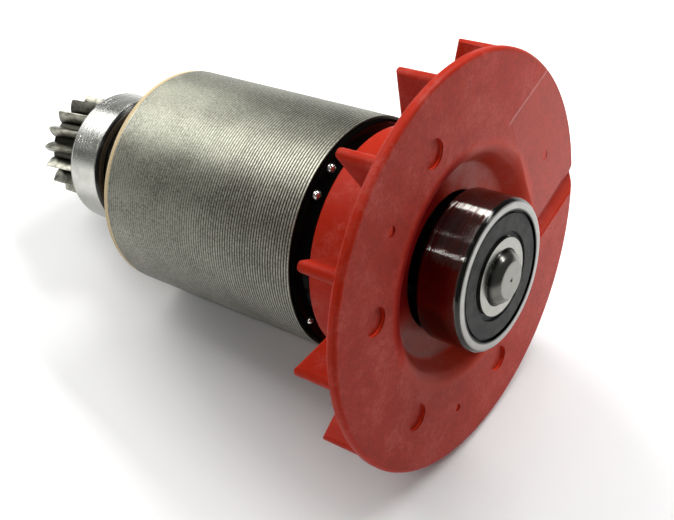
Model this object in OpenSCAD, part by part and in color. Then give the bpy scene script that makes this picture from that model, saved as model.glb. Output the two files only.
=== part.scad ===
// Power tool rotor: a laminated core on a stepped shaft, with a moulded cooling fan,
// a pinion with slanted teeth and a sealed ball bearing near each end. Millimetres.
// The axis is X with the fan end at +X. The origin is the centre of the fan-end bearing.

/* [Overall] */
// Length of the whole rotor, from the pinion's end to the shaft's nose
rotor_len = 87.15; // [76:0.05:105]

/* [Shaft] */
// Radius of the shaft in the bearings
journal_r = 4; // [3.6:0.1:4.4]
// Radius of the shaft under the core and the fan
body_r = 5; // [4.7:0.1:5.2]
// Radius of the shaft under the pinion
pinion_seat_r = 3.5; // [3:0.1:3.6]
// Radius of the collar behind the core
collar_r = 6.5; // [6:0.1:9]
// How far the nose stands out of the fan-end bearing
nose_out = 1.5; // [0.8:0.1:2.5]

/* [Bearings] */
// Outer radius of a bearing
bearing_r = 11; // [10.7:0.1:12]
// Width of a bearing
bearing_w = 7; // [6.8:0.1:9]
// Radius of a ball
ball_r = 1.98; // [1.9:0.02:2]
// Number of balls in a bearing
ball_count = 7; // [5:1:8]
// Rounding of the rings' outer edges
ring_round = 0.8; // [0.3:0.1:1]
// Thickness of a seal
seal_t = 0.6; // [0.4:0.05:0.65]

/* [Core] */
// Radius of the laminated core
core_r = 17.6; // [17.2:0.1:22]
// Thickness of one sheet, to which the core's length is divided
sheet_t = 0.475; // [0.35:0.025:0.65]
// Depth of the groove between two sheets
groove_depth = 0.12; // [0.05:0.01:0.2]
// Width of a magnet
magnet_w = 17; // [12:0.5:17]
// Thickness of a magnet
magnet_t = 2.6; // [2:0.1:3]
// Thickness of the tan end plate
tan_plate_t = 0.9; // [0.7:0.1:3]
// Thickness of the black end plate with its spacer
black_plate_t = 2.75; // [2:0.05:4]
// Thickness of the black end plate at its rim
black_rim_t = 0.7; // [0.5:0.1:1]

/* [Fan] */
// Radius of the fan
fan_r = 30.25; // [27:0.25:36]
// Thickness of the fan's plate
plate_t = 1.55; // [1.3:0.05:2]
// Depth of the whole fan, from its face to the back of its hub
fan_depth = 15.1; // [13:0.1:20]
// Radius of the hub
hub_r = 16.85; // [16.5:0.05:17.1]
// Wall of the hub
hub_wall = 2.2; // [1.6:0.1:2.6]
// Depth of the dish around the bearing
dish_depth = 3.4; // [2.8:0.1:4]
// How far the bearing sits inside the dish
dish_lap = 1.9; // [1:0.1:2.2]
// Number of blades
blade_count = 13; // [9:1:17]
// Thickness of a blade
blade_t = 1.75; // [1:0.05:2]
// Depth of a blade behind the plate at the rim
blade_depth = 5.25; // [4:0.05:7]
// Angle of the first blade
blade_start = 89.2; // [0:0.1:180]

/* [Pinion] */
// Number of teeth
tooth_count = 16; // [15:1:19]
// Tooth module
tooth_module = 0.95; // [0.9:0.05:1.05]
// Slant of the teeth
tooth_slant = 5; // [0:0.5:8]
// Length of the teeth
tooth_len = 8.6; // [6:0.1:14]
// Space between the core's end plate and the pinion-end bearing
bearing_gap = 9.1; // [6:0.1:14]

/* [Hidden] */
$fn = 96;

// Gap left in a pressed fit, in a running fit and between a seal's lip and its ring
press_gap = 0.01;
run_gap = 0.05;
lip_gap = 0.1;

// Places along the axis
bearing_half = bearing_w / 2;
face_x = dish_lap - bearing_half;
floor_x = face_x - dish_depth;
plate_x = face_x - plate_t;
hub_x = face_x - fan_depth;
core_front = hub_x - black_plate_t;
nose_x = bearing_half + nose_out;
pinion_x = nose_x - rotor_len;
boss_len = 0.6;
boss_x = pinion_x + tooth_len + boss_len;
rear_bearing_x = boss_x + bearing_half;
collar_x = rear_bearing_x + bearing_half + bearing_gap;
core_back = collar_x + tan_plate_t;
core_len = core_front - core_back;
sheet_count = round(core_len / sheet_t);
sheet_pitch = core_len / sheet_count;

// Radii inside a bearing
pitch_r = (bearing_r + journal_r) / 2;
race_r = ball_r + run_gap;
inner_land_r = pitch_r - 0.7 * ball_r;
outer_land_r = pitch_r + 0.73 * ball_r;
seal_in_r = pitch_r - 0.955 * ball_r;
seal_out_r = pitch_r + 0.945 * ball_r;
seal_inset = 0.15;
seal_step = seal_inset + seal_t;
bore_chamfer = 0.15;
lip_w = 0.7;
rim_w = 0.45;
lip_sunk = 0.4;

// Dish, rim and hub of the fan
mouth_r = 16.4;
dish_r = 14.1;
dish_round = 1.5;
mouth_round = 2.4;
dish_slope = atan2(dish_depth, mouth_r - dish_r);
rim_round = 0.6;
hub_round = 0.6;
pocket_r = bearing_r - 0.8;
pocket_depth = 6;
hub_boss_r = pocket_r + 1.5;
hub_rib_t = 1.4;
hub_rib_count = 6;
floor_t = 2;
blade_slope = 0.8;
blade_draft = 0.08;
blade_edge = 0.5;
blade_fillet = 0.6;

// Marks of moulding on the fan's face, as [radius on the face, angle, size, depth]
ejector_marks = [for (k = [0:3]) [22, 100 + 60 * k, 2, 0.55]];
gate_marks = [[22.6, 10, 0.7, 0.25], [22.6, 130, 0.8, 0.25], [22.6, 250, 0.6, 0.3]];

// Relief on one side of the fan's face: a shallow ramp that ends in a groove with a crease
relief_angle = 10.6;
relief_start = 16.8;
relief_top = 12.15;
relief_low = -8.6;
relief_bottom = -9.9;
relief_crest = -12.1;
relief_crease = -12.4;
relief_end = -12.65;
relief_edge = 0.12;
relief_depth = 0.2;
relief_groove = 0.7;

// Drops of resin on the black plate's face, as [angle, radius], and how deep they sit in it
drops = [[107.4, 0.7], [122.5, 0.7], [192.5, 0.55], [236, 0.65], [301, 0.7], [12, 0.6]];
drop_sunk = 0.6;
drop_place_r = core_r - 1.35;

// Slots for the magnets
slot_gap = 0.05;
magnet_r = core_r - 5.2;

// Gear tooth
pressure_angle = 25;
gear_r = tooth_module * tooth_count / 2;
gear_base_r = gear_r * cos(pressure_angle);
gear_tip_r = gear_r + 1.2 * tooth_module;
gear_root_r = gear_r - 0.9 * tooth_module;
gear_phase = 57;
gear_chamfer = 0.15;
boss_r = seal_in_r - 0.35;

// Places its children, drawn about Z, along the rotor's axis: x to Y, y to Z and z to X
module on_axis(at = 0) {
    translate([at, 0, 0]) rotate([90, 0, 90]) children();
}

// Turns a profile of [radius, place along the axis] points about the axis
module turned(points, at = 0) {
    on_axis(at) rotate_extrude() polygon(points);
}

// Points along an arc, from one angle to another
function arc(centre, r, from, to, steps = 6) = [
    for (i = [0:steps])
        let (a = from + (to - from) * i / steps)
        centre + r * [cos(a), sin(a)]
];

// Angle between a tooth's flank at the base circle and at radius r
function involute(r) =
    let (a = acos(min(1, gear_base_r / r)))
    tan(a) * 180 / PI - a;

module shaft() {
    relief_x = rear_bearing_x + bearing_half;
    nose_from = 20;
    nose_to = 65;
    nose_r = nose_out / (sin(nose_to) - sin(nose_from));
    nose_centre = [journal_r - nose_r * cos(nose_from), nose_x - nose_r * sin(nose_to)];
    color("silver") difference() {
        turned(concat(
            [
                [0, pinion_x],
                [pinion_seat_r - 0.4, pinion_x],
                [pinion_seat_r, pinion_x + 0.4],
                [pinion_seat_r, boss_x + 0.4],
                [journal_r, boss_x + 0.4],
                [journal_r, relief_x],
                [seal_in_r - 0.2, relief_x],
                [seal_in_r - 0.2, relief_x + 1.5],
                [collar_r - 0.3, relief_x + 1.5],
                [collar_r, relief_x + 1.8],
                [collar_r, collar_x],
                [body_r, collar_x],
                [body_r, -bearing_half],
                [journal_r, -bearing_half]
            ],
            arc(nose_centre, nose_r, nose_from, nose_to),
            [[0, nose_x]]
        ));
        turned([[0, nose_x - 0.35], [0.5, nose_x + 0.1], [0, nose_x + 0.1]]);
        turned([[0, pinion_x + 2], [1.2, pinion_x - 0.1], [0, pinion_x - 0.1]]);
    }
}

// Outline of the stack in section: a flat crest for each sheet and a groove between sheets
function sheet_points(i) =
    let (x = core_back + i * sheet_pitch, side = sheet_pitch * 0.2)
    [
        [core_r - groove_depth, x],
        [core_r, x + side],
        [core_r, x + sheet_pitch - side],
        [core_r - groove_depth, x + sheet_pitch]
    ];

module lamination_stack() {
    bore = body_r + press_gap;
    color("gray") difference() {
        turned(concat(
            [[bore, core_front], [bore, core_back]],
            [for (i = [0:sheet_count - 1]) each sheet_points(i)]
        ));
        for (k = [1:4])
            magnet_block(k, slot_gap, 1);
    }
}

// A magnet's block, grown by a gap on its sides and made longer at both ends
module magnet_block(k, gap = 0, extra = 0) {
    on_axis(core_back - extra) rotate(90 * k - 45)
        translate([magnet_r - magnet_t / 2 - gap, -magnet_w / 2 - gap, 0])
            cube([magnet_t + 2 * gap, magnet_w + 2 * gap, core_len + 2 * extra]);
}

module magnet(k) {
    color("dimgray") magnet_block(k);
}

module pinion_end_plate() {
    r = core_r - 0.05;
    bore = body_r + press_gap;
    color("tan") turned([
        [bore, core_back], [r, core_back],
        [r, collar_x + 0.2], [r - 0.2, collar_x],
        [bore, collar_x]
    ]);
}

// A thin black disc on the core's end, with a narrower spacer that meets the fan's hub
module fan_end_plate() {
    r = core_r - 0.45;
    bore = body_r + press_gap;
    spacer_r = hub_r - 2;
    rim_x = core_front + black_rim_t;
    color("black") union() {
        turned([
            [bore, hub_x], [spacer_r, hub_x], [spacer_r, rim_x],
            [r - 0.15, rim_x], [r, rim_x - 0.15], [r, core_front],
            [bore, core_front]
        ]);
        for (d = drops)
            on_axis(rim_x + d[1] - drop_sunk) rotate(d[0])
                translate([drop_place_r, 0, 0]) sphere(d[1]);
    }
}

// Section of the fan's plate, dish, hub and boss, as one closed outline
function fan_points() =
    let (
        bore = body_r + press_gap,
        tangent = dish_round * tan(dish_slope / 2),
        mouth_tangent = mouth_round * tan(dish_slope / 2),
        cavity_r = hub_r - hub_wall,
        cavity_x = floor_x - floor_t,
        pocket_x = floor_x - pocket_depth
    )
    concat(
        [[bore, hub_x], [bore, pocket_x], [pocket_r, pocket_x], [pocket_r, floor_x]],
        arc([dish_r - tangent, floor_x + dish_round], dish_round, -90, dish_slope - 90),
        arc([mouth_r + mouth_tangent, face_x - mouth_round], mouth_round, 90 + dish_slope, 90),
        arc([fan_r - rim_round, face_x - rim_round], rim_round, 90, 0),
        arc([fan_r - rim_round, plate_x + rim_round], rim_round, 0, -90),
        arc([hub_r + hub_round, plate_x - hub_round], hub_round, 90, 180),
        [
            [hub_r, hub_x + 0.3], [hub_r - 0.3, hub_x],
            [cavity_r, hub_x], [cavity_r, cavity_x],
            [hub_boss_r, cavity_x], [hub_boss_r, hub_x]
        ]
    );

// What lies within a blade's outline as seen along the axis, with a rounded outer end
module blade_outline(half, reach, from, to) {
    root_r = hub_r - 0.5;
    end_r = reach - half;
    translate([0, 0, from]) linear_extrude(to - from) {
        translate([root_r, -half]) square([end_r - root_r, 2 * half]);
        translate([end_r, 0]) circle(half);
    }
}

// Carries a section of [across, along the axis] points outwards from the axis
module carried_out(points) {
    rotate([90, 0, 90]) linear_extrude(fan_r) polygon(points);
}

// One radial blade behind the plate: drafted, with a round rear edge that slopes to the hub
module blade() {
    edge = blade_edge;
    thin = blade_t / 2 - blade_draft;
    thick = blade_t / 2 + blade_draft;
    top = plate_x + plate_t / 2;
    high = top + blade_slope;
    low = plate_x - blade_depth;
    slope = atan2(blade_slope, fan_r - hub_r);
    intersection() {
        blade_outline(thick + 0.05, fan_r - 0.05, low - 2, top);
        translate([fan_r, 0, 0]) rotate([0, -slope, 0]) translate([-fan_r, 0, 0])
            carried_out(concat(
                arc([thin - edge, low + edge], edge, -90, 0, 4),
                [[thick, high], [-thick, high]],
                arc([edge - thin, low + edge], edge, 180, 270, 4)
            ));
    }
}

// Fillet on both sides of a blade where it meets the plate
module blade_foot() {
    wide = blade_t / 2 - 0.05 + blade_fillet;
    top = plate_x + plate_t / 3;
    low = plate_x - blade_fillet + 0.03;
    intersection() {
        blade_outline(wide + 0.1, fan_r - rim_round - 0.1, low - 1, top + 1);
        carried_out(concat(
            arc([wide, low], blade_fillet, 180, 90, 4),
            [[wide, top], [-wide, top]],
            arc([-wide, low], blade_fillet, 90, 0, 4)
        ));
    }
}

// One rib between the hub's boss and its wall
module hub_rib() {
    from = hub_boss_r - 0.5;
    to = hub_r - hub_wall + 0.5;
    translate([from, -hub_rib_t / 2, hub_x + 1])
        cube([to - from, hub_rib_t, floor_x - floor_t / 2 - hub_x - 1]);
}

// Round marks sunk in the fan's face
module face_marks(marks) {
    for (m = marks)
        rotate(m[1]) translate([m[0], 0, face_x - m[3]]) cylinder(r = m[2], h = 2);
}

// The ramp cut in the fan's face, from the dish to the rim
module face_relief() {
    over = 1;
    rotate(relief_angle) translate([relief_start, 0, 0])
        rotate([90, 0, 90]) linear_extrude(fan_r)
            polygon([
                [relief_top, face_x + over], [relief_top, face_x - relief_edge],
                [relief_low, face_x - relief_depth], [relief_bottom, face_x - relief_groove],
                [relief_crest, face_x - relief_edge / 2], [relief_crease, face_x - relief_depth],
                [relief_end, face_x], [relief_end, face_x + over]
            ]);
}

module cooling_fan() {
    color("firebrick") difference() {
        union() {
            turned(fan_points());
            on_axis() {
                for (k = [0:blade_count - 1])
                    rotate(blade_start + 360 * k / blade_count) {
                        blade();
                        blade_foot();
                    }
                for (k = [0:hub_rib_count - 1])
                    rotate(360 * k / hub_rib_count) hub_rib();
            }
        }
        on_axis() {
            face_marks(ejector_marks);
            face_marks(gate_marks);
            face_relief();
        }
    }
}

// One tooth, a little taller than the tip circle that trims it
module tooth() {
    half = 90 / tooth_count + involute(gear_r);
    low = max(gear_base_r, gear_root_r);
    high = gear_tip_r + 0.1;
    steps = 6;
    radii = [for (i = [0:steps]) low + (high - low) * i / steps];
    sunk = gear_root_r - 0.3;
    polygon(concat(
        [sunk * [cos(half), -sin(half)]],
        [for (r = radii) let (a = half - involute(r)) r * [cos(a), -sin(a)]],
        [for (i = [steps:-1:0]) let (r = radii[i], a = half - involute(r)) r * [cos(a), sin(a)]],
        [sunk * [cos(half), sin(half)]]
    ));
}

module pinion() {
    teeth_x = pinion_x + tooth_len;
    cut_r = gear_tip_r - gear_chamfer;
    color("darkgray") difference() {
        union() {
            on_axis(pinion_x) cylinder(r = gear_root_r, h = tooth_len);
            intersection() {
                on_axis(pinion_x + tooth_len / 2)
                    for (k = [0:tooth_count - 1])
                        rotate(gear_phase + 360 * k / tooth_count) rotate([tooth_slant, 0, 0])
                            linear_extrude(tooth_len * 1.2, center = true) tooth();
                turned([
                    [0, pinion_x], [cut_r, pinion_x], [gear_tip_r, pinion_x + gear_chamfer],
                    [gear_tip_r, teeth_x - gear_chamfer], [cut_r, teeth_x], [0, teeth_x]
                ]);
            }
            on_axis(teeth_x - 1) cylinder(r = boss_r, h = 1 + boss_len);
        }
        on_axis(pinion_x - 1) cylinder(r = pinion_seat_r + press_gap, h = tooth_len + 4);
    }
}

// Outer ring of a bearing centred at x, with a step for each seal and a groove for the balls
module outer_ring(x) {
    w = bearing_half;
    edge_r = bearing_r - ring_round;
    step = w - seal_step;
    color("lightgray") on_axis(x) rotate_extrude() difference() {
        polygon(concat(
            [[seal_out_r, w]],
            arc([edge_r, w - ring_round], ring_round, 90, 0),
            arc([edge_r, ring_round - w], ring_round, 0, -90),
            [
                [seal_out_r, -w], [seal_out_r, -step], [outer_land_r, -step],
                [outer_land_r, step], [seal_out_r, step]
            ]
        ));
        translate([pitch_r, 0]) circle(race_r);
    }
}

// Inner ring of a bearing centred at x, with a step for each seal's lip
module inner_ring(x) {
    w = bearing_half;
    c = bore_chamfer;
    bore = journal_r + press_gap;
    step = w - seal_step - lip_gap;
    color("silver") on_axis(x) rotate_extrude() difference() {
        polygon([
            [bore + c, w], [seal_in_r, w], [seal_in_r, step], [inner_land_r, step],
            [inner_land_r, -step], [seal_in_r, -step], [seal_in_r, -w], [bore + c, -w],
            [bore, c - w], [bore, w - c]
        ]);
        translate([pitch_r, 0]) circle(race_r);
    }
}

module balls(x) {
    color("gainsboro") on_axis(x)
        for (k = [0:ball_count - 1])
            rotate(360 * k / ball_count) translate([pitch_r, 0, 0]) sphere(ball_r);
}

// Cage of a bearing: a ring with a round pocket for each ball
module cage(x) {
    half = ball_r + 0.35;
    color("goldenrod") difference() {
        on_axis(x) rotate_extrude()
            translate([pitch_r - 0.6, -half]) square([1.2, 2 * half]);
        on_axis(x)
            for (k = [0:ball_count - 1])
                rotate(360 * k / ball_count) translate([pitch_r - 2, 0, 0])
                    rotate([0, 90, 0]) cylinder(r = race_r, h = 4);
    }
}

// Seal of a bearing centred at x, on the side that side (1 or -1) names
module seal(x, side) {
    out = bearing_half - seal_inset;
    in = bearing_half - seal_step;
    lip = seal_in_r + lip_gap;
    edge = seal_out_r - press_gap;
    color("dimgray") turned([
        for (p = [
            [lip, in], [lip, out - lip_sunk], [lip + lip_w - 0.1, out - lip_sunk], [lip + lip_w, out],
            [edge - rim_w, out], [edge - rim_w + 0.1, out - lip_sunk], [edge, out - lip_sunk], [edge, in]
        ]) [p[0], side * p[1]]
    ], x);
}

shaft();
lamination_stack();
magnet(1);  // magnet_1
magnet(2);  // magnet_2
magnet(3);  // magnet_3
magnet(4);  // magnet_4
pinion_end_plate();
fan_end_plate();
cooling_fan();
pinion();
outer_ring(0);  // fan_bearing_outer_ring
inner_ring(0);  // fan_bearing_inner_ring
balls(0);  // fan_bearing_balls
cage(0);  // fan_bearing_cage
seal(0, 1);  // fan_bearing_front_seal
seal(0, -1);  // fan_bearing_rear_seal
outer_ring(rear_bearing_x);  // pinion_bearing_outer_ring
inner_ring(rear_bearing_x);  // pinion_bearing_inner_ring
balls(rear_bearing_x);  // pinion_bearing_balls
cage(rear_bearing_x);  // pinion_bearing_cage
seal(rear_bearing_x, 1);  // pinion_bearing_front_seal
seal(rear_bearing_x, -1);  // pinion_bearing_rear_seal
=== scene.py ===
"""Looks of a power tool rotor: a sheet steel core, a red moulded fan, a pinion and two bearings.

The frame is the part's own: X along the axis with the fan end at +X, and the origin at the centre
of the fan-end bearing. Values here are in millimetres, and angles round the axis are in degrees
from +Y towards +Z. Blender's own lengths are in metres.
"""
import math

import bpy
import numpy as np
from mathutils import Matrix, Vector

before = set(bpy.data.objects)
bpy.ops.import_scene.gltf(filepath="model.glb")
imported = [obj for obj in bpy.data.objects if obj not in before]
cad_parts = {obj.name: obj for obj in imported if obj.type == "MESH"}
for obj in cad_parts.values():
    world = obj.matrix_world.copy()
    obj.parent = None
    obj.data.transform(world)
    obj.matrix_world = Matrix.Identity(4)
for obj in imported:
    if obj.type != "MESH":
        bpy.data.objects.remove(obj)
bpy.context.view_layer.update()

MM = 0.001

# The core: its ends and sheets, where varnish fills its seams and where they are open, and the
# angles of its underside, painted darker as painted shade, and of a band with a painted highlight.
CORE_BACK = -55.95
CORE_FRONT = -19.45
SHEET_COUNT = 77
SEAM_FILLED_X = -54.0
SEAM_OPEN_X = -26.0
CORE_SHADED_ANGLE = 216.87
CORE_HIGHLIGHT_ANGLE = 143.13

# The black end plate and the drops on its face.
PLATE_R = 17.15
DROP_X = -18.7
DROP_R = 16.25

# The fan: its face and rim, the circle of its sunk marks and the angle towards which its face is painted
# lighter, a painted light gradient.
FAN_FACE_X = -1.6
FAN_RIM_R = 30.25
MARKS_R = 22.0
LIGHT_GRADIENT_ANGLE = -15.0

# The dish in the fan's face, the pocket behind the bearing and the angle of the side with painted shade.
DISH_MOUTH_R = 16.4
DISH_FLOOR_X = -5.0
POCKET_R = 10.2
SHADED_SIDE_ANGLE = 133.78

# The raised field on the fan's face, turned by an angle, and the groove below it.
RELIEF_ANGLE = 10.6
RELIEF_START = 16.8
RELIEF_TOP = 12.15
RELIEF_LOW = -8.6
GROOVE_LOW = -12.65

# The pinion's teeth and its end.
GEAR_ROOT_R = 6.75
GEAR_TIP_R = 8.74
GEAR_END_X = -82.15

# The shaft's nose and the bearings' outer rings.
SHAFT_R = 4.0
NOSE_X = 5.0
NOSE_BACK_X = 3.3
NOSE_FLAT_R = 2.6
BEARING_R = 11.0
RING_ROUND = 0.8
SEAL_R = 9.37

# The camera, as it stood over the part.
CAMERA_PLACE = (67.352, -92.426, 99.486)
CAMERA_RIGHT = (0.78837, 0.58652, -0.18567)
CAMERA_UP = (-0.26902, 0.60009, 0.75334)
CAMERA_LENS = 58.514
CAMERA_SENSOR = 36.0
CAMERA_CLIP = (5.0, 20000.0)

# The table: the part lies on the fan's blades and the far edge of its core, so it is tilted.
# It has a painted glow outside an oval round the part, which whitens the outer part of its shadow.
TABLE_TILT = math.radians(13.9)
TABLE_SIZE = 3000.0
TABLE_GLOW = (0.30, 0.30, 0.296)
SHADOW_PLACE = (-15.0, -5.0)
SHADOW_REACH = (55.0, 28.0)

# The room's light level, and the tubes whose reflections run along the rings.
ROOM_LEVEL = 0.18
TUBE_LENGTH = 360.0
TUBE_WIDTH = 9.0
TUBE_DISTANCE = 700.0
TUBE_X = 140.0


def round_axis(angle):
    """Direction square to the axis, at an angle in degrees from +Y towards +Z."""
    turn = math.radians(angle)
    return (0.0, math.cos(turn), math.sin(turn))


def colour(shade):
    """A colour with its alpha, or a linked colour as it is."""
    return shade if isinstance(shade, Value) else (*shade, 1.0)


class Value:
    """A socket of one material, with arithmetic that adds Math nodes."""

    def __init__(self, tree, socket=None):
        self.tree = tree
        self.socket = socket

    def node(self, kind, settings=(), inputs=(), output=0):
        """Add a node of a kind, set its settings first, then fill or link its sockets."""
        made = self.tree.nodes.new(kind)
        for name, setting in dict(settings).items():
            setattr(made, name, setting)
        for key, source in dict(inputs).items():
            if isinstance(source, Value):
                self.tree.links.new(source.socket, made.inputs[key])
            else:
                made.inputs[key].default_value = source
        return Value(self.tree, made.outputs[output])

    def math(self, operation, first, second=0.0):
        return self.node("ShaderNodeMath", {"operation": operation}, {0: first, 1: second})

    def __add__(self, other):
        return self.math("ADD", self, other)

    def __radd__(self, other):
        return self.math("ADD", other, self)

    def __sub__(self, other):
        return self.math("SUBTRACT", self, other)

    def __rsub__(self, other):
        return self.math("SUBTRACT", other, self)

    def __mul__(self, other):
        return self.math("MULTIPLY", self, other)

    def __rmul__(self, other):
        return self.math("MULTIPLY", other, self)

    def __truediv__(self, other):
        return self.math("DIVIDE", self, other)

    def floor(self):
        return self.math("FLOOR", self)

    def root(self):
        return self.math("SQRT", self)

    def least(self, other):
        return self.math("MINIMUM", self, other)

    def ramp(self, low, high, start=0.0, end=1.0):
        """Smooth step from start at low to end at high. Low may be the greater of the two."""
        return self.node(
            "ShaderNodeMapRange",
            {"interpolation_type": "SMOOTHSTEP"},
            {"Value": self, "From Min": low, "From Max": high, "To Min": start, "To Max": end},
        )

    def part(self, axis):
        """One of a vector's three parts, by number."""
        return self.node("ShaderNodeSeparateXYZ", (), {0: self}, axis)

    def stretched(self, x, y, z):
        """A vector with each of its parts scaled."""
        return self.node("ShaderNodeVectorMath", {"operation": "MULTIPLY"}, {0: self, 1: (x, y, z)})

    def noise(self, scale, detail=3.0, roughness=0.55):
        """Cloudy pattern from 0 to 1 on a vector in millimetres, with scale in features a millimetre."""
        return self.node(
            "ShaderNodeTexNoise",
            {"noise_dimensions": "3D"},
            {"Vector": self, "Scale": scale, "Detail": detail, "Roughness": roughness},
        )

    def tint(self, low, high):
        """Colour between two, by this value."""
        return self.node(
            "ShaderNodeMix",
            {"data_type": "RGBA"},
            {0: self, 6: colour(low), 7: colour(high)},
            2,
        )


class Finish:
    """A material with one Principled shader, and the place on the piece in millimetres."""

    def __init__(self, name, **constants):
        self.material = bpy.data.materials.new(name)
        self.material.use_nodes = True
        self.tree = self.material.node_tree
        self.shader = self.tree.nodes["Principled BSDF"]
        for socket, number in constants.items():
            self.shader.inputs[socket.replace("_", " ")].default_value = number
        metres = Value(self.tree).node("ShaderNodeTexCoord", output="Object")
        self.place = metres.stretched(1 / MM, 1 / MM, 1 / MM)
        self.x = self.place.part(0)
        self.y = self.place.part(1)
        self.z = self.place.part(2)
        self.radius = (self.y * self.y + self.z * self.z).root()

    def along(self, angle):
        """Distance from the axis along the direction at an angle round it."""
        _, across, up = round_axis(angle)
        return across * self.y + up * self.z

    def facing(self, angle):
        """Cosine between a point's own direction from the axis and the one at an angle."""
        return self.along(angle) / self.radius

    def ray(self, kind):
        """One for rays of a kind, by the name of Light Path's output, and else zero."""
        return self.place.node("ShaderNodeLightPath", output=kind)

    def set(self, **fields):
        """Feed the shader's sockets from fields."""
        for socket, field in fields.items():
            self.tree.links.new(field.socket, self.shader.inputs[socket.replace("_", " ")])

    def bump(self, height, depth, strength=1.0):
        """Raise the surface by a height field of 0 to 1 times a depth."""
        normal = height.node(
            "ShaderNodeBump", (), {"Strength": strength, "Distance": depth * MM, "Height": height}
        )
        self.set(Normal=normal)

    def give(self, *nodes):
        """Put the material on CAD nodes."""
        for name in nodes:
            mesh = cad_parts[name].data
            mesh.materials.clear()
            mesh.materials.append(self.material)


def sheet_steel():
    """Edges of stacked sheets: dark seams that varnish fills towards the pinion, and a fine grain."""
    look = Finish("sheet_steel", Metallic=0.95)
    count = (look.x - CORE_BACK) * (SHEET_COUNT / (CORE_FRONT - CORE_BACK))
    across = count - count.floor()
    open_seam = look.x.ramp(SEAM_FILLED_X, SEAM_OPEN_X, 0.28, 0.98)
    seam = open_seam * (1 - across.least(1 - across).ramp(0.06, 0.32))
    grain = look.place.noise(3.2, 3.0, 0.7)
    stain = look.place.noise(0.12, 5.0, 0.65)
    bare = (0.7 * grain + 0.3 * stain).ramp(0.33, 0.67)
    # Painted shade and light: a darker copy of the steel on the underside, and a painted highlight band.
    painted_lit_side = look.facing(CORE_SHADED_ANGLE).ramp(0.62, 0.2)
    highlight_band = look.facing(CORE_HIGHLIGHT_ANGLE).ramp(0.95, 0.995, 1.0, 1.5)
    lit_steel = (bare * highlight_band).tint((0.22, 0.222, 0.176), (0.55, 0.542, 0.447))
    shaded_steel = bare.tint((0.12, 0.121, 0.098), (0.34, 0.338, 0.285))
    look.set(
        Base_Color=seam.tint(painted_lit_side.tint(shaded_steel, lit_steel), (0.030, 0.029, 0.023)),
        Roughness=0.25 + 0.16 * grain + 0.1 * stain,
    )
    look.bump(grain, 0.02)
    return look


def dish_masks(look):
    """Where the fan's dish is: all of it, its side with painted shade, its floor and its upper mouth."""
    ahead = look.x.ramp(DISH_FLOOR_X - 0.4, DISH_FLOOR_X - 0.2)
    hollow = ahead * look.radius.ramp(DISH_MOUTH_R + 2.4, DISH_MOUTH_R + 0.8)
    shaded_side = hollow * look.facing(SHADED_SIDE_ANGLE).ramp(0.45, 0.8)
    low = ahead * look.x.ramp(DISH_FLOOR_X + 0.5, DISH_FLOOR_X + 0.1)
    floor = low * look.radius.ramp(DISH_MOUTH_R, DISH_MOUTH_R - 2.5) * (1 - shaded_side)
    rounding = look.radius.ramp(DISH_MOUTH_R - 2.5, DISH_MOUTH_R + 0.5)
    rounding = rounding * look.radius.ramp(DISH_MOUTH_R + 4.6, DISH_MOUTH_R + 1.1)
    mouth = rounding * look.z.ramp(2.0, 10.0)
    return hollow, shaded_side, floor, mouth


def relief_masks(look, front):
    """Where the raised field on the fan's face is, its step, which gets a painted highlight, and the
    groove below it.
    """
    height = look.along(RELIEF_ANGLE + 90.0)
    beside = look.along(RELIEF_ANGLE)
    step = height - RELIEF_TOP
    begun = beside.ramp(RELIEF_START - 0.3, RELIEF_START + 0.3)
    field = step.ramp(0.1, -0.1) * height.ramp(RELIEF_LOW - 0.3, RELIEF_LOW + 0.3)
    field = front * begun * field
    near_step = (step * step).ramp(0.12, 0.01)
    step_line = front * beside.ramp(RELIEF_START - 1.5, RELIEF_START + 0.5) * near_step
    below = height.ramp(RELIEF_LOW, RELIEF_LOW - 0.8)
    groove = begun * below * height.ramp(GROOVE_LOW - 0.1, GROOVE_LOW)
    lower_wall = height.ramp(RELIEF_LOW - 1.0, GROOVE_LOW + 0.6)
    return field, step_line, groove, lower_wall


def mark_walls(look, depth):
    """Where the walls of the round marks are, between the fan's face and the marks' floors."""
    circle = look.radius.ramp(MARKS_R - 3.0, MARKS_R - 2.4)
    circle = circle * look.radius.ramp(MARKS_R + 3.0, MARKS_R + 2.4)
    return circle * depth.ramp(0.54, 0.5) * depth.ramp(0.2, 0.3)


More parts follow.
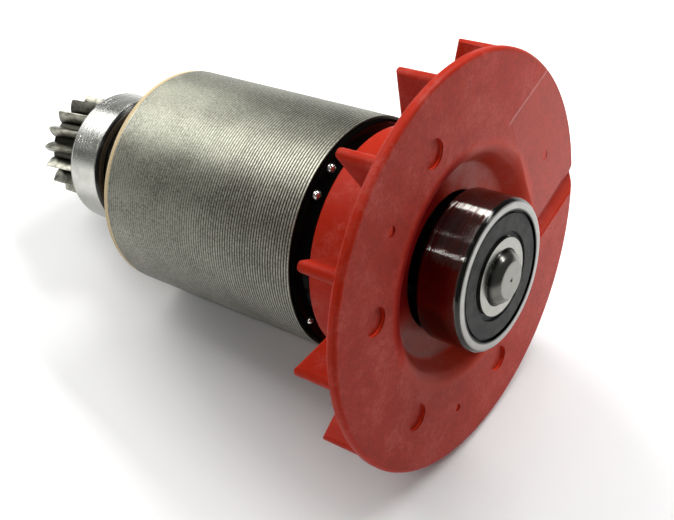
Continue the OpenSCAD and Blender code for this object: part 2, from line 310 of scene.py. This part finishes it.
def red_plastic():
    """Satin red moulding, mottled, with a painted sheen, highlight and light gradient on its face and
    painted shade in its dish and pocket.
    """
    look = Finish("red_plastic", Specular_IOR_Level=0.1, Coat_IOR=1.4, Coat_Roughness=0.42)
    cloud = look.place.noise(0.16, 5.0, 0.7)
    bloom = look.place.noise(0.9, 5.0, 0.7)
    speckle = look.place.noise(3.0, 3.0)
    grain = 0.3 * cloud + 0.35 * bloom + 0.35 * speckle

    depth = FAN_FACE_X - look.x
    front = depth.ramp(0.35, 0.2)
    hollow, shaded_side, dish_floor, mouth = dish_masks(look)
    field, step_line, groove, lower_wall = relief_masks(look, front)
    flat = look.radius.ramp(DISH_MOUTH_R, DISH_MOUTH_R + 1.3)
    flat = flat * look.radius.ramp(FAN_RIM_R - 0.3, FAN_RIM_R - 0.7)
    flat_face = flat * depth.ramp(1.3, 1.0) * (1 - groove) * (1 - shaded_side)
    # Painted shade: the pocket behind the bearing is painted black.
    pocket = look.radius.ramp(POCKET_R + 0.3, POCKET_R + 0.1)
    pocket = pocket * look.x.ramp(DISH_FLOOR_X + 0.1, DISH_FLOOR_X - 0.3)
    # Painted light: the face and the dish's open wall go from a shaded to a lit copy of the red across
    # the part, and the face's coat follows the same gradient.
    light_gradient = look.along(LIGHT_GRADIENT_ANGLE).ramp(-24.0, 26.0)

    blotch = grain.ramp(0.36, 0.62)
    dull = blotch.tint((0.235, 0.009, 0.002), (0.38, 0.018, 0.005))
    bright = blotch.tint((0.36, 0.015, 0.004), (0.54, 0.030, 0.010))
    lit_and_shaded_red = light_gradient.tint(dull, bright)
    plain_red = bloom.tint((0.35, 0.013, 0.002), (0.46, 0.020, 0.004))
    # Painted light: the walls of the round marks are a lighter red.
    plate = mark_walls(look, depth).tint(flat_face.tint(plain_red, lit_and_shaded_red), (0.66, 0.038, 0.010))
    open_wall = light_gradient.tint((0.40, 0.020, 0.005), (0.62, 0.042, 0.015))
    # Painted light and shade in the dish: its floor lighter at the top and darker below, its shaded side
    # a deep red.
    floor_red = look.z.ramp(-4.0, 4.0).tint((0.26, 0.035, 0.022), (0.60, 0.045, 0.018))
    deep_red = bloom.tint((0.18, 0.002, 0.001), (0.22, 0.003, 0.001))
    dish = shaded_side.tint(dish_floor.tint(open_wall, floor_red), deep_red)
    # Painted light and shade in the groove: lighter on its lower wall, darker on its upper part.
    cut = lower_wall.tint((0.34, 0.012, 0.003), (0.52, 0.028, 0.007))
    red = groove.tint(hollow.tint(plate, dish), cut)

    # Painted sheen and light: a whitish mottled sheen on the face and raised field, a painted patch of
    # light on the dish's upper floor and a sheen on its upper mouth.
    mottle = cloud.ramp(0.42, 0.68) * grain.ramp(0.42, 0.62)
    face_sheen = 0.14 * mottle * (1 - field) + 0.1 * field
    floor_light_patch = 0.2 * dish_floor * look.z.ramp(0.0, 8.0) * bloom.ramp(0.3, 0.6)
    mouth_sheen = 0.06 * front * mouth * bloom.ramp(0.4, 0.62)
    # Painted highlight: a whitish line along the step.
    step_highlight = 0.65 * step_line * bloom.ramp(0.25, 0.5)
    painted_sheen = (face_sheen + floor_light_patch + mouth_sheen + step_highlight) * (1 - shaded_side)
    moulded = painted_sheen.least(0.6).tint(red, (0.66, 0.30, 0.27))
    face_film = flat_face * (0.1 + 0.2 * bloom) * (0.4 + 0.6 * light_gradient)
    floor_film = 0.25 * dish_floor * look.z.ramp(-30.0, 8.0)
    look.set(
        Base_Color=pocket.tint(moulded, (0.008, 0.003, 0.002)),
        Roughness=0.36 + 0.12 * bloom + 0.08 * speckle + 0.4 * shaded_side,
        Coat_Weight=face_film + floor_film,
    )
    look.bump(0.6 * speckle + 0.4 * bloom, 0.03, 0.7)
    return look


def ground_ring(name, dark, light, polish):
    """Bearing steel with fine grinding lines round the axis, and painted shade low down, on its corners
    and by the seal.
    """
    look = Finish(name, Metallic=1.0)
    line = look.place.stretched(1.0, 0.002, 0.002).noise(14.0, 1.0)
    smear = look.place.noise(0.5, 4.0)
    upward = look.z / look.radius
    lined = upward.ramp(0.62, 0.76, 0.12, 1.0)
    # Painted shade: darker towards the bottom, on the rounded corners and at the inner edge by the seal.
    painted_lit_side = upward.ramp(-0.5, 0.6)
    ground = look.radius.ramp(BEARING_R - 0.06, BEARING_R - 0.01)
    corner = look.radius.ramp(BEARING_R - 0.75 * RING_ROUND, BEARING_R - 0.5 * RING_ROUND)
    inner_edge = look.radius.ramp(SEAL_R + 0.3, SEAL_R + 0.15)
    face = smear.tint((0.22, 0.216, 0.204), (0.36, 0.355, 0.338))
    face_with_painted_shade = corner.tint(inner_edge.tint(face, (0.02, 0.02, 0.019)), (0.04, 0.039, 0.037))
    look.set(
        Base_Color=ground.tint(face_with_painted_shade, (smear * painted_lit_side).tint(dark, light)),
        Roughness=polish + 0.05 * smear,
    )
    look.bump(line * lined, 0.06)
    return look


def turned_steel():
    """Shaft and inner rings: finely turned, with a duller, faced end beside the nose's rounding, which
    has painted shade.
    """
    look = Finish("turned_steel", Metallic=1.0)
    line = look.place.stretched(1.0, 0.004, 0.004).noise(24.0, 2.0)
    smear = look.place.noise(0.8, 4.0)
    faced = look.x.ramp(NOSE_X - 0.08, NOSE_X - 0.02)
    # Painted shade on the nose's rounding, darkest next to the ring face.
    rounding = look.x.ramp(NOSE_BACK_X, NOSE_BACK_X + 0.3)
    rounding = rounding * look.radius.ramp(NOSE_FLAT_R - 0.05, NOSE_FLAT_R + 0.25)
    rounding = rounding * look.radius.ramp(SHAFT_R + 0.03, SHAFT_R)
    nearer = look.x.ramp(NOSE_BACK_X + 0.4, NOSE_BACK_X + 1.0)
    shade = nearer.tint((0.012, 0.012, 0.011), (0.13, 0.128, 0.115))
    bright = smear.tint((0.24, 0.238, 0.213), (0.36, 0.357, 0.328))
    look.set(
        Base_Color=rounding.tint(bright, shade),
        Roughness=0.18 + 0.1 * smear + 0.24 * faced,
    )
    look.bump(line, 0.004)
    return look


def seal_rubber():
    """Dark grey seal with a fine moulded grain."""
    look = Finish("seal_rubber", IOR=1.33)
    grain = look.place.noise(6.0, 3.0)
    dust = look.place.noise(0.7, 4.0).ramp(0.3, 0.7)
    look.set(
        Base_Color=dust.tint((0.006, 0.0062, 0.0057), (0.028, 0.029, 0.0265)),
        Roughness=0.45 + 0.2 * grain,
    )
    look.bump(grain, 0.02, 0.5)
    return look


def gear_steel():
    """Cut teeth: bright tips that darken towards the roots, and a faced end."""
    look = Finish("gear_steel", Metallic=1.0)
    tip = look.radius.ramp(GEAR_ROOT_R, GEAR_TIP_R)
    smear = look.place.noise(0.9, 4.0)
    line = look.place.stretched(0.1, 1.0, 1.0).noise(9.0, 2.0)
    faced = look.x.ramp(GEAR_END_X + 0.1, GEAR_END_X + 0.04)
    flank = tip * (0.4 + 0.6 * smear.ramp(0.36, 0.64))
    shade = (1 - faced) * flank + faced * smear.ramp(0.3, 0.7, 0.3, 0.75)
    look.set(
        Base_Color=shade.tint((0.030, 0.029, 0.022), (0.44, 0.43, 0.355)),
        Roughness=0.24 + 0.2 * smear,
    )
    look.bump(line, 0.01, 0.5)
    return look


def tan_fibre():
    """Pressed insulating sheet with short fibres, painted dark brown on its open side as painted shade.
    """
    look = Finish("tan_fibre", IOR=1.45)
    fibre = look.place.stretched(1.0, 3.0, 0.8).noise(1.6, 4.0)
    cloud = look.place.noise(0.2, 3.0)
    # Painted shade: the open side, in the gap by the bearing, is painted dark brown.
    shaded_back = look.x.ramp(CORE_BACK - 0.72, CORE_BACK - 0.88) * (0.8 + 0.2 * cloud)
    tan = (0.6 * fibre + 0.4 * cloud).tint((0.58, 0.44, 0.24), (0.78, 0.63, 0.38))
    look.set(
        Base_Color=shaded_back.tint(tan, (0.10, 0.055, 0.026)),
        Roughness=0.55 + 0.25 * fibre,
    )
    look.bump(fibre, 0.03, 0.6)
    return look


def black_resin():
    """Glossy black end plate with a slightly wavy skin, a dull rim and bright drops."""
    look = Finish("black_resin", Specular_IOR_Level=0.0, Coat_IOR=1.5, Coat_Roughness=0.06)
    wave = look.place.noise(0.45, 3.0)
    drop = look.x.ramp(DROP_X, DROP_X + 0.05) * look.radius.ramp(DROP_R - 1.1, DROP_R - 0.9)
    inner = look.radius.ramp(PLATE_R - 0.25, PLATE_R - 0.4)
    resin = wave.tint((0.001, 0.001, 0.001), (0.004, 0.0035, 0.003))
    look.set(
        Base_Color=drop.tint(resin, (0.62, 0.58, 0.55)),
        Metallic=drop * 0.95,
        Roughness=0.7 - 0.58 * drop,
        Coat_Weight=inner * (1 - drop),
    )
    look.bump(wave, 0.05, 0.7)
    return look


def magnet_plate():
    """Dull plating on the magnets."""
    look = Finish("magnet_plate", Metallic=0.8)
    cloud = look.place.noise(0.6, 4.0)
    look.set(
        Base_Color=cloud.tint((0.2, 0.2, 0.2), (0.34, 0.33, 0.32)),
        Roughness=0.35 + 0.2 * cloud,
    )
    return look


def ball_steel():
    """Mirror-bright balls."""
    look = Finish("ball_steel", Metallic=1.0)
    film = look.place.noise(1.2, 3.0)
    look.set(
        Base_Color=film.tint((0.62, 0.62, 0.62), (0.74, 0.74, 0.73)),
        Roughness=0.05 + 0.06 * film,
    )
    return look


def cage_steel():
    """Pressed cage with a trace of grease."""
    look = Finish("cage_steel", Metallic=0.9)
    grease = look.place.noise(0.9, 4.0)
    look.set(
        Base_Color=grease.tint((0.32, 0.27, 0.18), (0.52, 0.47, 0.36)),
        Roughness=0.3 + 0.25 * grease,
    )
    return look


def dress_nodes():
    """Give every solid its finish."""
    steel = turned_steel()
    rubber = seal_rubber()
    balls = ball_steel()
    cages = cage_steel()
    steel.give("shaft")
    sheet_steel().give("lamination_stack")
    magnet_plate().give("magnet_1", "magnet_2", "magnet_3", "magnet_4")
    tan_fibre().give("pinion_end_plate")
    black_resin().give("fan_end_plate")
    red_plastic().give("cooling_fan")
    gear_steel().give("pinion")
    # One bearing steel in two tones: the fan-end ring's darker tones are painted shade, the pinion-end
    # ring's light tones painted light.
    shaded_copy = ground_ring("shaded_copy_ring", (0.15, 0.137, 0.128), (0.25, 0.23, 0.213), polish=0.05)
    shaded_copy.give("fan_bearing_outer_ring")
    bright = ground_ring("bright_ring", (0.31, 0.31, 0.286), (0.80, 0.80, 0.745), polish=0.2)
    bright.give("pinion_bearing_outer_ring")
    for bearing in ("fan_bearing", "pinion_bearing"):
        steel.give(f"{bearing}_inner_ring")
        balls.give(f"{bearing}_balls")
        cages.give(f"{bearing}_cage")
        rubber.give(f"{bearing}_front_seal", f"{bearing}_rear_seal")


def lowest_along(normal):
    """Least distance of any solid's corner along a direction, in metres."""
    least = math.inf
    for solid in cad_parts.values():
        corners = np.empty(len(solid.data.vertices) * 3)
        solid.data.vertices.foreach_get("co", corners)
        least = min(least, float((corners.reshape(-1, 3) @ normal).min()))
    return least


def table_paper():
    """White paper with a painted glow where it is seen, outside the oval that holds the part's shadow.
    """
    paper = Finish("table_paper", Roughness=0.9, Emission_Strength=1.0)
    cloud = paper.place.noise(0.02, 3.0)
    aside = (paper.x - SHADOW_PLACE[0]) / SHADOW_REACH[0]
    ahead = (paper.y - SHADOW_PLACE[1]) / SHADOW_REACH[1]
    away = (aside * aside + ahead * ahead).root().ramp(0.7, 1.25)
    seen = paper.ray("Is Camera Ray") + paper.ray("Is Glossy Ray") + paper.ray("Is Transmission Ray")
    paper.set(
        Base_Color=cloud.tint((0.88, 0.88, 0.875), (0.91, 0.91, 0.91)),
        Emission_Color=(away * seen.least(1.0)).tint((0.0, 0.0, 0.0), TABLE_GLOW),
    )
    return paper


def lay_table():
    """White table: one square, tilted in the part's frame so that the part lies on it."""
    normal = np.array([math.sin(TABLE_TILT), 0.0, math.cos(TABLE_TILT)])
    along = np.array([math.cos(TABLE_TILT), 0.0, -math.sin(TABLE_TILT)])
    sideways = np.array([0.0, 1.0, 0.0])
    centre = normal * lowest_along(normal)
    reach = TABLE_SIZE * MM / 2
    sides = ((-1, -1), (1, -1), (1, 1), (-1, 1))
    corners = [tuple(centre + reach * (s * along + t * sideways)) for s, t in sides]
    mesh = bpy.data.meshes.new("table")
    mesh.from_pydata(corners, [], [(0, 1, 2, 3)])
    mesh.materials.append(table_paper().material)
    table = bpy.data.objects.new("table", mesh)
    bpy.context.scene.collection.objects.link(table)


def place_camera():
    """Camera where the photograph was taken from, with no shift."""
    data = bpy.data.cameras.new("camera")
    data.sensor_width = CAMERA_SENSOR
    data.sensor_fit = "HORIZONTAL"
    data.lens = CAMERA_LENS
    data.clip_start = CAMERA_CLIP[0] * MM
    data.clip_end = CAMERA_CLIP[1] * MM
    camera = bpy.data.objects.new("camera", data)
    bpy.context.scene.collection.objects.link(camera)
    right = Vector(CAMERA_RIGHT).normalized()
    back = right.cross(Vector(CAMERA_UP)).normalized()
    turn = Matrix((right, back.cross(right), back)).transposed().to_4x4()
    camera.matrix_world = Matrix.Translation(Vector(CAMERA_PLACE) * MM) @ turn
    bpy.context.scene.camera = camera


def hang_lamp(name, towards, watts, length, width, distance, x=0.0):
    """White panel in a direction from the part, facing it, with its length as near to X as may be."""
    data = bpy.data.lights.new(name, "AREA")
    data.shape = "RECTANGLE"
    data.size = length * MM
    data.size_y = width * MM
    data.energy = watts
    lamp = bpy.data.objects.new(name, data)
    bpy.context.scene.collection.objects.link(lamp)
    back = Vector(towards).normalized()
    across = back.cross(Vector((1.0, 0.0, 0.0))).normalized()
    turn = Matrix((across.cross(back), across, back)).transposed().to_4x4()
    place = (back * distance + Vector((x, 0.0, 0.0))) * MM
    lamp.matrix_world = Matrix.Translation(place) @ turn


def hang_tube(name, angle, watts):
    """Thin tube along X, at an angle round the axis."""
    hang_lamp(name, round_axis(angle), watts, TUBE_LENGTH, TUBE_WIDTH, TUBE_DISTANCE, TUBE_X)


def light_scene():
    """Pale room with a ceiling panel behind the core, a lamp at the right and thin tubes in front."""
    world = bpy.data.worlds.new("room")
    world.use_nodes = True
    room = world.node_tree.nodes["Background"]
    room.inputs["Color"].default_value = (1.0, 1.0, 1.0, 1.0)
    room.inputs["Strength"].default_value = ROOM_LEVEL
    bpy.context.scene.world = world
    overhead = (-0.6, 0.03, 0.8)
    right = round_axis(53.0)
    hang_lamp("ceiling_panel", overhead, watts=5.4, length=1000.0, width=460.0, distance=900.0)
    hang_lamp("lamp_right", right, watts=0.85, length=260.0, width=45.0, distance=270.0, x=80.0)
    hang_tube("tube_over", 100.0, watts=0.08)
    hang_tube("tube_near", 126.0, watts=0.5)


dress_nodes()
lay_table()
place_camera()
light_scene()
bpy.context.scene.view_settings.view_transform = "Standard"
